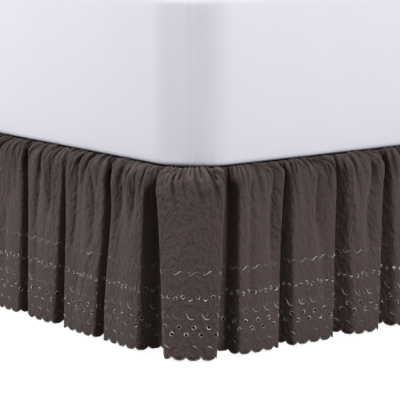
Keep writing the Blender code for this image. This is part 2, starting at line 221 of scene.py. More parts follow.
# How far the cloth stands out, how much of that is fold, the fold's number and the place across it.
# Between two gaps it rises over a flank, runs along a crowned crest with one soft trough, and falls
# over the next flank, which is fuller on the left side.
def foldReach(s, depth):
    floorAt = floorsAt(depth)
    gap = folds["gapTop"] + (folds["gapHem"] - folds["gapTop"]) * depth
    flat = folds["flat"] / 2
    k = np.clip(np.searchsorted(floorAt, s, side="right") - 1, 0, len(floorAt) - 2)
    after = s - floorAt[k]
    before = floorAt[k + 1] - s
    riseWidth = gap[k] * folds["rise"][k]
    fallWidth = gap[k + 1] * folds["fall"][k + 1]
    rise = smoothStep((after - flat[k]) / (riseWidth - flat[k]))
    fall = smoothStep((before - flat[k + 1]) / (fallWidth - flat[k + 1]))
    fall = 1 - (1 - fall) ** np.where(k < folds["cornerFold"], foldShape["squareness"], 1.0)
    across = after / (after + before)
    crown = 1 - foldShape["crown"] * (2 * across - 1) ** 2
    trough = folds["trough"][k] * np.exp(-((across - folds["troughAt"][k]) / foldShape["troughWidth"]) ** 2)
    grow = foldShape["reachAtSeam"] + (1 - foldShape["reachAtSeam"]) * depth
    crest = folds["reach"][k] * crown * grow - trough * (1 - depth)
    opened = 1 - math.exp(-depth * bed["drop"] / foldShape["opensIn"])
    floor = foldShape["seamOffset"] + (foldShape["floor"] - foldShape["seamOffset"]) * opened
    return floor + (crest - floor) * rise * fall * opened, rise * fall, k, across


# Distances on the seam, and the length of the cloth's plan curve up to each of them.
def planCurve(depth):
    s = np.linspace(0, seamLength, foldShape["samples"])
    point, normal = seamPath(s)
    point = point + normal * foldReach(s, depth)[0][:, None]
    steps = np.hypot(*np.diff(point, axis=0).T)
    return s, np.concatenate([[0.0], np.cumsum(steps)])


# Fine shape of the cloth: gathers under the seam and the creases of each fold

border = {
    "repeat": 0.030, "scallopRise": 0.0075, "clothThickness": 0.0007, "edgeFade": 0.010,
    "lowEyelets": 0.053, "highEyelets": 0.068, "eyeletHole": 0.0034,
    "chain": 0.1275, "chainStep": 0.00175, "chainHole": 0.0028,
}
gathers = {  # spacing of highs and lows on the cloth, height, how far down they reach, lean
    "puckers": (0.0076, 0.0048, 0.019, 0.18),
    "small": (0.0145, 0.0058, 0.046, 0.20),
    "soft": (0.027, 0.0034, 0.110, 0.12),
    "drape": (0.055, 0.0028, 0.700, 0.03),
    "puffHeight": 0.0045, "puffBelow": 0.0032, "puffSpacing": 0.0075,
    "startShare": 0.6, "startLength": 0.006, "deepest": 0.72, "inGaps": 0.12, "fadePower": 1.6,
    # a pleat's mean level; where painted shade begins on its wave, over what range, how much farther it
    # reaches
    "pleatLevel": 1.15, "paintedShadeFrom": -0.15, "paintedShadeRange": 0.55, "paintedShadeReach": 1.3,
}
patchGrid = {  # columns to a repeat; rows from the hem up, closer together towards the seam
    "columns": 24,
    "rows": ((0, 0.31, 0.004), (0.312, 0.364, 0.002), (0.365, 0.3805, 0.001)),
}

# The creases of each fold, counted from the corner and negative on the left side. at: place across
# the fold, 0 to 1. lean: how far that place moves by the end. The rest is in millimetres: where it
# starts and ends below the seam, half its width, and its height above (ridge) or below (trough) the
# cloth around it.
Crease = namedtuple("Crease", "at lean top end width height")
creases = {
    -4: [(0.5, 0.05, 0, 150, 8, -10), (0.72, -0.02, 0, 130, 7, -9), (0.42, 0, 150, 330, 12, -4)],
    -3: [
        (0.37, -0.1, 0, 190, 8.5, -10.8), (0.5, 0, 10, 110, 6, 3), (0.62, 0.01, 0, 160, 9.2, -17),
        (0.75, 0, 12, 150, 6, 4), (0.57, 0, 130, 260, 8, -3.4), (0.33, 0.02, 150, 300, 8, -3.4)],
    -2: [
        (0.18, 0, 0, 40, 4.5, -5), (0.31, -0.06, 4, 240, 9.5, -8.5), (0.46, 0, 20, 140, 6.5, 4),
        (0.46, 0, 0, 30, 4.5, -4), (0.58, 0.12, 4, 180, 12.5, -19), (0.8, 0, 0, 40, 5, -4.5),
        (0.8, -0.06, 80, 130, 4, 2.2), (0.8, -0.18, 135, 215, 6.5, -4.5),
        (0.93, -0.1, 150, 220, 6, -3.8), (0.64, -0.28, 190, 300, 6, -2.8),
        (0.79, -0.24, 190, 320, 6, -2.8)],
    -1: [
        (0.14, 0, 4, 45, 4.5, -4.5), (0.33, -0.08, 0, 150, 9.5, -10.5), (0.54, 0, 20, 130, 6, 2.8),
        (0.6, 0, 0, 40, 4, -4.5), (0.68, -0.03, 0, 125, 8.5, -9.5), (0.4, -0.12, 105, 185, 6.5, -3)],
    0: [
        (0.08, 0, 0, 42, 4.5, -5.5), (0.15, 0.06, 0, 42, 4.5, -7), (0.22, 0.02, 0, 30, 4, -7),
        (0.29, 0, 0, 18, 3.6, -6), (0.37, 0.02, 0, 18, 2.6, -10), (0.49, 0.02, 0, 16, 2.6, -10),
        (0.61, 0.03, 0, 18, 2.6, -11), (0.79, 0.02, 0, 22, 2.8, -12), (0.55, -0.12, 53, 74, 3.4, 2.6),
        (0.52, -0.06, 117, 136, 3, 2), (0.69, -0.03, 102, 118, 2.8, 1.8), (0.5, -0.16, 22, 56, 7, -1.4),
        (0.74, -0.1, 36, 70, 8, -1.2), (0.3, 0.14, 160, 90, 8, -1.2)],
    1: [
        (0.23, 0.02, 96, 150, 3, 1.4), (0.49, 0, 0, 22, 4, -3.6), (0.66, 0, 0, 16, 3.6, -5),
        (0.77, -0.03, 0, 220, 10.5, -12.5), (0.31, 0, 15, 320, 11, -7), (0.74, 0, 50, 340, 15, -5)],
    2: [
        (0.13, 0.03, 0, 45, 4.5, -4), (0.28, 0, 0, 22, 4, -4), (0.46, -0.04, 0, 60, 4.2, -4),
        (0.6, -0.02, 2, 170, 9, -20), (0.78, 0, 0, 40, 4.5, -5), (0.61, 0.08, 100, 340, 12, -6)],
    3: [
        (0.17, 0.12, 12, 170, 8.5, 10), (0.24, 0, 0, 16, 3.6, -5), (0.36, 0, 4, 60, 4.6, -4.5),
        (0.47, 0, 0, 16, 3.6, -5.5), (0.64, 0, 0, 14, 3.6, -5.5), (0.68, -0.1, 6, 220, 12, -15),
        (0.82, -0.03, 4, 36, 3.6, 3.2), (0.58, -0.04, 85, 320, 15, -4.5)],
    4: [(0.35, -0.05, 0, 110, 7, -8), (0.7, 0.04, 0, 160, 8, -8)],
}
unseenCreases = [  # one group for each fold that the photo doesn't show, in turn
    [(0.3, -0.04, 0, 130, 6.7, -10.1), (0.62, 0.05, 5, 90, 7, -7.9), (0.8, -0.2, 180, 290, 9.1, -4)],
    [(0.22, 0.02, 0, 60, 5.9, -8.8), (0.45, 0.1, 10, 150, 9.8, -12.1), (0.74, -0.04, 0, 80, 5.9, -7.9)],
    [(0.36, -0.06, 0, 110, 7, -9.7), (0.55, 0, 20, 100, 5.9, 5.7), (0.7, -0.24, 150, 260, 9.8, -4)],
    [(0.28, 0.03, 0, 50, 5.6, -7.9), (0.5, 0, 0, 140, 7.3, -11), (0.76, -0.03, 0, 70, 6.2, -8.8)],
    [(0.42, -0.08, 0, 120, 8.4, -10.6), (0.68, 0.05, 6, 100, 6.4, -7), (0.33, 0.26, 200, 300, 9.8, -4)],
]
creaseShape = {  # shares of a crease's width or length
    "startWidth": 0.50, "widening": 0.60, "widensIn": 0.5, "bellPower": 1.4,
    "lead": 0.08, "fadeIn": 0.16, "overrun": 0.12, "fadeOut": 0.5,
}


# The creases listed for one fold, or the next group of the unseen ones.
def creasesOf(foldNumber):
    rows = creases.get(foldNumber) or unseenCreases[foldNumber % len(unseenCreases)]
    return [Crease(at, lean, *(size / 1000 for size in sizes)) for at, lean, *sizes in rows]


# Height of all creases: each is a soft bell across the fold, which moves sideways and widens down
# the cloth and fades in and out at its two ends.
def creaseRelief(foldAt, across, foldWidth, below):
    relief = np.zeros_like(across)
    shape = creaseShape
    for k in np.unique(foldAt):
        columns = np.any(foldAt == k, axis=0)
        here = foldAt[:, columns] == k
        for c in creasesOf(int(k) - folds["cornerFold"]):
            along = (below[:, None] - c.top) / (c.end - c.top)
            place = c.at + c.lean * np.clip(along, 0, 1)
            widened = shape["startWidth"] + shape["widening"] * smoothStep(along / shape["widensIn"])
            away = np.abs(across[:, columns] - place) * foldWidth[:, columns] / (c.width * widened)
            bell = np.exp(-away ** shape["bellPower"])
            fade = smoothStep((along + shape["lead"]) / shape["fadeIn"])
            fade = fade * smoothStep((1 + shape["overrun"] - along) / shape["fadeOut"])
            relief[:, columns] += np.where(here, c.height * bell * fade, 0.0)
    return relief


# One width of the ruffle as a fine grid over u and v: points, normals, the painted shade deep in the
# gathers and both scales. The seam distance of a point comes from the cloth length between the folds'
# floors, measured at its own depth. The fold's reach moves it outwards from the seam, and then the gathers
# and creases move it along its normal. A gather is the square root of a wave, so it has wide highs and
# sharp lows.
def clothPatch(first, last, repeats, seed, slant):
    s, length = planCurve(1.0)
    knots = [k for k in range(len(folds["hem"])) if first["hem"] < folds["hem"][k] < last["hem"]]
    knotCloth = np.interp([first["hem"], *folds["hem"][knots], last["hem"]], s, length)
    knotCloth -= knotCloth[0]
    clothLength = repeats * border["repeat"]
    knotCloth *= clothLength / knotCloth[-1]
    u = np.linspace(0, clothLength, repeats * patchGrid["columns"] + 1)
    drop = bed["drop"]
    v = np.concatenate([*(np.arange(*rows) for rows in patchGrid["rows"]), [drop]])

    rows = []
    for depth in 1 - v / drop:
        s, length = planCurve(depth)
        floorAt = floorsAt(depth)
        ends = [e["top"] + (e["hem"] - e["top"]) * depth for e in (first, last)]
        knotAt = np.interp([ends[0], *floorAt[knots], ends[1]], s, length)
        place = np.interp(np.interp(u, knotCloth, knotAt), length, s)
        place[0] += first["trim"]
        place[-1] -= last["trim"]
        out, raised, k, across = foldReach(place, depth)
        point, normal = seamPath(place)
        fromCorner = np.minimum(np.abs(place - leftCorner), np.abs(place - rightCorner))
        atCorner = np.exp(-(fromCorner / foldShape["cornerSpread"]) ** 4)
        lift = foldShape["hemLift"] * (1 - raised) - foldShape["cornerDrop"] * atCorner
        height = hemHeight + (1 - depth) * drop + lift * depth
        width = floorAt[k + 1] - floorAt[k]
        point = (point + normal * out[:, None]).T
        rows.append(np.stack([*point, height, k, across, width, raised, out]))
    grid = np.stack(rows)
    points = np.moveaxis(grid[:, :3], 1, -1)
    foldAt, across, foldWidth, raised, out = (grid[:, i] for i in range(3, 8))

    below = drop - v
    normals = gridNormals(points)
    ends = smoothStep(np.minimum(u, clothLength - u) / border["edgeFade"])[None, :]
    started = 1 - (1 - gathers["startShare"]) * np.exp(-below / gathers["startLength"])
    relief = creaseRelief(foldAt, across, foldWidth, below)
    paintedShade = np.zeros_like(relief)
    for number, name in enumerate(("puckers", "small", "soft", "drape")):
        spacing, size, reach, lean = gathers[name]
        wave = unevenWave(u[None, :] + slant * lean * below[:, None], spacing, seed + number)
        pleat = 2 * np.sqrt(np.clip((wave + 1) / 2, 0, 1)) - gathers["pleatLevel"]
        relief += pleat * size * (started * np.exp(-(below / reach) ** gathers["fadePower"]))[:, None]
        if name in ("puckers", "small"):
            # painted shade: the cloth is marked dark where the puckers and small gathers sink, less so
            # farther down
            sunk = np.clip((gathers["paintedShadeFrom"] - wave) / gathers["paintedShadeRange"], 0, 1)
            faded = np.exp(-(below / (gathers["paintedShadeReach"] * reach)) ** 2)
            paintedShade = np.maximum(paintedShade, sunk * faded[:, None])
    relief *= ends * (gathers["inGaps"] + (1 - gathers["inGaps"]) * raised ** 2)
    relief = np.maximum(relief, -gathers["deepest"] * np.maximum(out - foldShape["seamOffset"], 0))
    puff = np.maximum(unevenWave(u, gathers["puffSpacing"], seed + 9), 0) * gathers["puffHeight"]
    start = below / gathers["puffBelow"]
    points = points + normals * relief[..., None]
    points[..., 2] += ends * puff[None, :] * (start * np.exp(1 - start))[:, None]
    return {"points": points, "normals": gridNormals(points), "u": u, "v": v, "repeats": repeats,
            "length": clothLength, "paintedShade": paintedShade[..., None]}


# Outward normals of a grid: the cross product of its two directions.
def gridNormals(points):
    normals = np.cross(np.gradient(points, axis=1), np.gradient(points, axis=0))
    return normals / np.linalg.norm(normals, axis=-1, keepdims=True)


# Points at u and v on a patch, found between the four grid points round each, and lifted along the
# cloth's normal.
def onCloth(patch, u, v, lift=0.0, field="points"):
    column = np.clip(u / patch["length"], 0, 1) * (len(patch["u"]) - 1)
    row = np.interp(v, patch["v"], np.arange(len(patch["v"])))
    j = np.clip(column.astype(int), 0, len(patch["u"]) - 2)
    i = np.clip(row.astype(int), 0, len(patch["v"]) - 2)
    a, b = (row - i)[..., None], (column - j)[..., None]

    def between(values):
        low = values[i, j] * (1 - b) + values[i, j + 1] * b
        high = values[i + 1, j] * (1 - b) + values[i + 1, j + 1] * b
        return low * (1 - a) + high * a

    if field != "points":
        return between(patch[field])[..., 0]
    return between(patch["points"]) + between(patch["normals"]) * np.asarray(lift)[..., None]


# Scallops: arcs of a circle, with notches at whole repeats and tips between them.
def hemRise(u):
    half = border["repeat"] / 2
    radius = (half ** 2 + border["scallopRise"] ** 2) / (2 * border["scallopRise"])
    return radius - np.sqrt(radius ** 2 - (np.mod(u, border["repeat"]) - half) ** 2)


# Materials

def shaderOf(name, roughness, sheen=0.0, specular=0.5):
    material = bpy.data.materials.new(name)
    material.use_nodes = True
    shader = material.node_tree.nodes["Principled BSDF"]
    for key, value in (("Roughness", roughness), ("Sheen Weight", sheen), ("Specular IOR Level", specular)):
        shader.inputs[key].default_value = value
    return material, material.node_tree, shader


# Feeds a node's input from another node's output, or sets its value.
def feed(socket, value):
    if isinstance(value, bpy.types.NodeSocket):
        socket.id_data.links.new(value, socket)
    else:
        socket.default_value = value


# A node with its options and inputs set: inputs by name, or in order where several share a name.
def node(tree, kind, *ordered, **named):
    made = tree.nodes.new("ShaderNode" + kind)
    for key, value in named.items():
        if key in made.inputs:
            feed(made.inputs[key], value)
        else:
            setattr(made, key, value)
    for socket, value in zip(made.inputs, ordered):
        feed(socket, value)
    return made


def maths(tree, operation, *values, kind="Math"):
    return node(tree, kind, *values, operation=operation).outputs[0]


def noise(tree, place, **values):
    return node(tree, "TexNoise", Vector=place, **values).outputs["Fac"]


def stretched(tree, place, scale, **values):
    return node(tree, "Mapping", Vector=place, Scale=scale, **values).outputs["Vector"]


def bump(tree, height, distance, strength=1.0, **values):
    made = node(tree, "Bump", Height=height, Distance=distance, Strength=strength, **values)
    return made.outputs["Normal"]


# The colour between two others, by a share from 0 to 1.
def mixColour(tree, share, first, second):
    mix = node(tree, "Mix", share, data_type="RGBA")
    feed(mix.inputs[6], first)
    feed(mix.inputs[7], second)
    return mix.outputs[2]


# Where a point lies: on the cloth's uv map, or on the object.
def placeOn(tree, useUv=False):
    if useUv:
        return node(tree, "UVMap", uv_map="cloth").outputs["UV"]
    return node(tree, "TexCoord").outputs["Object"]


# The painted light kept on the mesh: painted glints on stitching, painted shade deep in the cloth's
# gathers.
def paintedLightOf(tree):
    return node(tree, "Attribute", attribute_name="paintedLight").outputs["Fac"]


# A colour from 0 to 255 as the shader takes it: the usual curve undone.
def linear(rgb):
    return [((c / 255 + 0.055) / 1.055) ** 2.4 if c > 10 else c / 255 / 12.92 for c in rgb] + [1.0]


woven = {  # scales are for one metre; the last is the share of the colour left as painted shade in the deepest gathers
    "alongThread": 0.12, "crumpleScale": (120.0, 60.0, 90.0), "crumpleTurn": (0.0, 0.0, 0.35),
    "cloudScale": 130.0, "paintedShadeLevel": 0.12,
}


# Two noises drawn out along the warp and the weft, the higher of the two at each place; then soft
# crumples, painted shade that darkens the colour deep in the gathers, and a mottle in the colour.
def wovenMaterial(name, rgb, thread, sheen, useUv=True, threadBump=0.0001, crumple=0.0, mottle=0.12):
    material, tree, shader = shaderOf(name, 0.85, sheen, 0.2)
    place = placeOn(tree, useUv)
    along = woven["alongThread"]
    threads = []
    for stretch in ((1.0, along, 1.0), (along, 1.0, along)):
        turned = stretched(tree, place, [s / thread for s in stretch])
        threads.append(noise(tree, turned, Scale=1.0, Detail=1.0))
    under = {}
    base = np.array(linear(rgb)[:3])
    cloud = noise(tree, place, Scale=woven["cloudScale"], Detail=5.0, Roughness=0.65)
    colour = mixColour(tree, cloud, [*(base * (1 - mottle)), 1.0], [*(base * (1 + mottle)), 1.0])
    if crumple:
        slanted = stretched(tree, place, woven["crumpleScale"], Rotation=woven["crumpleTurn"])
        wrinkles = noise(tree, slanted, Scale=1.0, Detail=3.0, Roughness=0.6, Distortion=0.25)
        under = {"Normal": bump(tree, wrinkles, crumple)}
        # painted shade: deep in the gathers the colour darkens to a small share of itself
        colour = mixColour(tree, paintedLightOf(tree), colour, [*(base * woven["paintedShadeLevel"]), 1.0])
    feed(shader.inputs["Normal"], bump(tree, maths(tree, "MAXIMUM", *threads), threadBump, **under))
    feed(shader.inputs["Base Color"], colour)
    return material


# Satin stitches: fine lines across the stroke, and painted glints that make some stitches brighter than
# others.
def threadMaterial(name, dark, paintedGlint, strand):
    material, tree, shader = shaderOf(name, 0.42, 0.2, 0.6)
    # the wave texture repeats every 0.314 at a scale of 1
    wave = node(tree, "TexWave", bands_direction="X", Vector=placeOn(tree, True), Scale=0.314 / strand,
                Distortion=0.8)
    feed(shader.inputs["Normal"], bump(tree, wave.outputs["Fac"], 0.0001, 0.7))
    # painted glints: the thread's own colour, lightened towards the glint colour by the painted light on
    # the mesh
    feed(shader.inputs["Base Color"], mixColour(tree, paintedLightOf(tree), linear(dark), linear(paintedGlint)))
    return material


# The last colour is painted: it is that of the glints painted on the stitches.
colours = {
    "ruffle": (80, 67, 64), "platform": (70, 60, 57), "sheet": (224, 224, 234), "ticking": (205, 200, 192),
    "threadDark": (74, 64, 61), "paintedGlintColour": (226, 222, 219),
}
ruffleCloth = wovenMaterial(
    "ruffleCloth", colours["ruffle"], 0.0004, 0.12, crumple=0.0068, mottle=0.2)
platformCloth = wovenMaterial("platformCloth", colours["platform"], 0.0005, 0.1, useUv=False)
sheetCloth = wovenMaterial(
    "sheetCloth", colours["sheet"], 0.0004, 0.1, useUv=False, threadBump=0.00005, mottle=0.008)
tickingCloth = wovenMaterial(
    "tickingCloth", colours["ticking"], 0.0012, 0.1, useUv=False, threadBump=0.0003)
stitchThread = threadMaterial(
    "stitchThread", colours["threadDark"], colours["paintedGlintColour"], 0.0005)


# The ruffle

cellsAcross = 8
topRows = [0.325, 0.332, 0.338, 0.344, 0.349, 0.354, 0.358, *np.arange(0.3615, 0.3795, 0.0025), bed["drop"]]


# Cloth of one width: a grid of eight cells to a repeat, cut out round every eyelet, which doubles to
# sixteen in the gathered top. A hole is a ring of eight points on a circle, joined to the eight grid
# points round it.
def ruffleMesh(name, patch):
    columns = cellsAcross * patch["repeats"] + 1
    cell = border["repeat"] / cellsAcross
    low, high, chain = border["lowEyelets"], border["highEyelets"], border["chain"]
    v = np.array([
        0.0, 0.0095, 0.017, 0.026, 0.034, 0.042, low - cell, low, low + cell, (low + high) / 2,
        high - cell, high, high + cell, 0.080, 0.088, 0.096, 0.104, 0.112, chain - 0.005, chain,
        chain + 0.005, 0.138, *np.arange(0.146, 0.316, 0.0085), 0.3215])
    u = np.arange(columns) * cell
    grid = np.stack(np.meshgrid(u, v), -1)
    grid[0, :, 1] = hemRise(u)
    quads = gridFaces(len(v), columns).reshape(len(v) - 1, columns - 1, 4)
    keep = np.ones(quads.shape[:2], bool)

    holeParts = []
    places = [grid.reshape(-1, 2)]
    count = len(places[0])
    ring = np.array([(-1, -1), (-1, 0), (-1, 1), (0, 1), (1, 1), (1, 0), (1, -1), (0, -1)])
    angle = np.radians(-135 + 45 * np.arange(8))
    circle = np.stack([np.cos(angle), np.sin(angle)], -1)
    for height, centre, shift, hole in eyeletsOf(patch):
        row = int(np.argmin(np.abs(v - height)))
        middle = np.rint(centre / cell).astype(int)
        for dr, dc in ((-1, -1), (-1, 0), (0, -1), (0, 0)):
            keep[row + dr, middle + dc] = False
        outer = (row + ring[:, 0]) * columns + (middle[:, None] + ring[:, 1])
        centres = np.stack([centre, height + shift], -1)
        places.append((centres[:, None] + hole * circle).reshape(-1, 2))
        inner = count + np.arange(len(middle) * 8).reshape(-1, 8)
        count += inner.size
        around = [outer, np.roll(outer, -1, 1), np.roll(inner, -1, 1), inner]
        holeParts.append(np.stack(around, -1).reshape(-1, 4))

    fine = 2 * columns - 1
    places.append(np.stack(np.meshgrid(np.arange(fine) * cell / 2, topRows), -1).reshape(-1, 2))
    below = (len(v) - 1) * columns + np.arange(columns - 1)
    above = count + 2 * np.arange(columns - 1)
    fan = np.concatenate([np.stack(threesome, -1) for threesome in (
        (below, below + 1, above + 1), (below, above + 1, above), (below + 1, above + 2, above + 1))])
    uv = np.concatenate(places)
    faces = [quads[keep], *holeParts, fan, count + gridFaces(len(topRows), fine)]
    # the painted shade of the gathers is carried onto the mesh with the points
    points, paintedShade = (onCloth(patch, *uv.T, field=field) for field in ("points", "paintedShade"))
    piece = meshPiece(name, points, faces, ruffleCloth, uv, paintedShade)
    return thickened(piece, border["clothThickness"])


# Gives a sheet its thickness, half on either side.
def thickened(piece, size):
    thickness = piece.modifiers.new("clothThickness", "SOLIDIFY")
    thickness.thickness = size
    thickness.offset = 0.0
    return piece


# Distances along the cloth of the notches between scallops and of their tips.
def notchesAndTips(patch):
    steps = np.arange(patch["repeats"])
    return steps[1:] * border["repeat"], (steps + 0.5) * border["repeat"]


# The three rows of eyelets: large ones over the notches and over the tips, and the zigzag chain of
# small ones. Each has its height, its places, how far each is off that height, and the hole's radius.
def eyeletsOf(patch):
    notch, tip = notchesAndTips(patch)
    link = (np.arange(2 * patch["repeats"]) + 0.5) * border["repeat"] / 2
    zigzag = border["chainStep"] * np.where(np.arange(len(link)) % 2, 1, -1)
    return [
        (border["lowEyelets"], notch, 0 * notch, border["eyeletHole"]),
        (border["highEyelets"], tip, 0 * tip, border["eyeletHole"]),
        (border["chain"], link, zigzag, border["chainHole"]),
    ]


# The stitching

stitch = {  # ringFrom is a share of the hole's radius
    "ring": 0.0019, "ringFrom": 0.92, "rise": 0.0008, "edgeWidth": 0.0015, "jitter": 0.0006,
    "clearOfEnds": 0.001, "dashRise": 0.0006, "dashWidth": 0.00055, "dashJitter": 0.0004,
    "dashesKept": 0.85,
}
# Strokes of one repeat: where from, path and half width in millimetres, strength of the painted glints
strokes = [
    ("tip", [(-2, 29.4), (1.5, 29.0), (5, 27.2), (9, 24.4)], 1.0, 0.65),
    ("notch", [(0.5, 97.5), (2.4, 93.5), (4.6, 89.2), (7.0, 86.0), (10.5, 84.6), (16.5, 85.4)], 0.9, 1.0),
    ("notch", [(12.5, 98.5), (11.0, 94.0), (9.0, 90.5)], 0.6, 0.5),
    ("tip", [(-12, 175.2), (-9, 174.6), (-5, 176.2), (-1, 179.4), (2.5, 181.4), (5.5, 181.2)], 0.9, 0.62),
    ("tip", [(4.5, 181.6), (8, 180.0), (12, 177.4), (16, 175.4)], 0.5, 0.3),
    ("tip", [(-13, 181.5), (-10.5, 178.8), (-9.5, 176.6)], 0.6, 0.4),
]
# Sprays of small stitches: where from, height on the cloth, distance from there, directions in
# degrees, length
sprays = [
    ("notch", 0.053, 0.0088, (200, 235, 270, 305, 340), 0.0026),
    ("tip", 0.068, 0.0088, (20, 60, 100, 140), 0.0026),
    ("notch", 0.092, 0.0100, (150, 180, 210), 0.0024),
    ("notch", 0.118, 0.0050, (250, 290), 0.0022),
    ("tip", 0.118, 0.0050, (250, 290), 0.0022),
    ("tip", 0.1775, 0.0120, (200, 330), 0.0026),
]
# Stitches strewn at random: how many to a repeat, lowest, highest, length
strewn = [(7, 0.044, 0.104, 0.0022), (3, 0.112, 0.136, 0.0020)]


# A smooth curve through the points: cubics that keep the slope of the neighbours, at even distances.
def smoothPath(points, count):
    points = np.asarray(points, float)
    along = np.concatenate([[0.0], np.cumsum(np.hypot(*np.diff(points, axis=0).T))])
    t = np.linspace(0, along[-1], count)
    k = np.clip(np.searchsorted(along, t, side="right") - 1, 0, len(along) - 2)
    slope = np.gradient(points, along, axis=0)
    h = (along[k + 1] - along[k])[:, None]
    x = ((t - along[k]) / h[:, 0])[:, None]
    return ((2 * x ** 3 - 3 * x ** 2 + 1) * points[k] + (x ** 3 - 2 * x ** 2 + x) * h * slope[k]
            + (3 * x ** 2 - 2 * x ** 3) * points[k + 1] + (x ** 3 - x ** 2) * h * slope[k + 1])


# Raised stitches along many paths at once: a low arch of points across each path, square to it. pathU
# and pathV hold one path in each row; profile lists the places across it and their heights; each point
# takes the strength of its painted glint. A closed path is a ring, whose last step joins its first.
def raisedStrokes(patch, pathU, pathV, halfWidth, rise, profile, paintedLight, closed=False):
    if closed:
        du = np.roll(pathU, -1, 1) - np.roll(pathU, 1, 1)
        dv = np.roll(pathV, -1, 1) - np.roll(pathV, 1, 1)
    else:
        du, dv = np.gradient(pathU, axis=1), np.gradient(pathV, axis=1)
    size = np.maximum(np.hypot(du, dv), 1e-9)
    sideU, sideV = -dv / size, du / size
    across, lift = np.array(profile).T
    sideways = np.broadcast_to(halfWidth, pathU.shape)[..., None] * across
    u = pathU[..., None] + sideU[..., None] * sideways
    v = pathV[..., None] + sideV[..., None] * sideways
    heights = np.broadcast_to(lift * rise, u.shape)
    points = onCloth(patch, u, v, heights).reshape(-1, 3)
    copies, steps, width = u.shape
    faces = gridFaces(steps + closed, width) % (steps * width)
    faces = (faces[None] + (np.arange(copies) * steps * width)[:, None, None]).reshape(-1, 4)[:, ::-1]
    along = np.cumsum(np.hypot(du, dv), axis=1)
    uv = np.stack(np.broadcast_arrays(along[..., None], sideways), -1)
    paintedGlint = np.broadcast_to(paintedLight[..., None], u.shape)
    return points, faces, uv.reshape(-1, 2), paintedGlint.ravel()


archProfile = [(1.0, -0.5), (0.6, 0.75), (0.0, 1.0), (-0.6, 0.75), (-1.0, -0.5)]
ridgeProfile = [(1.0, -0.5), (0.0, 1.0), (-1.0, -0.5)]
ringProfile = [(-1.0, -0.4), (-0.7, 0.6), (0.0, 1.0), (0.75, 0.55), (1.0, -0.9)]
tubeProfile = [(math.sin(a), math.cos(a)) for a in np.radians(range(180, -181, -60))]


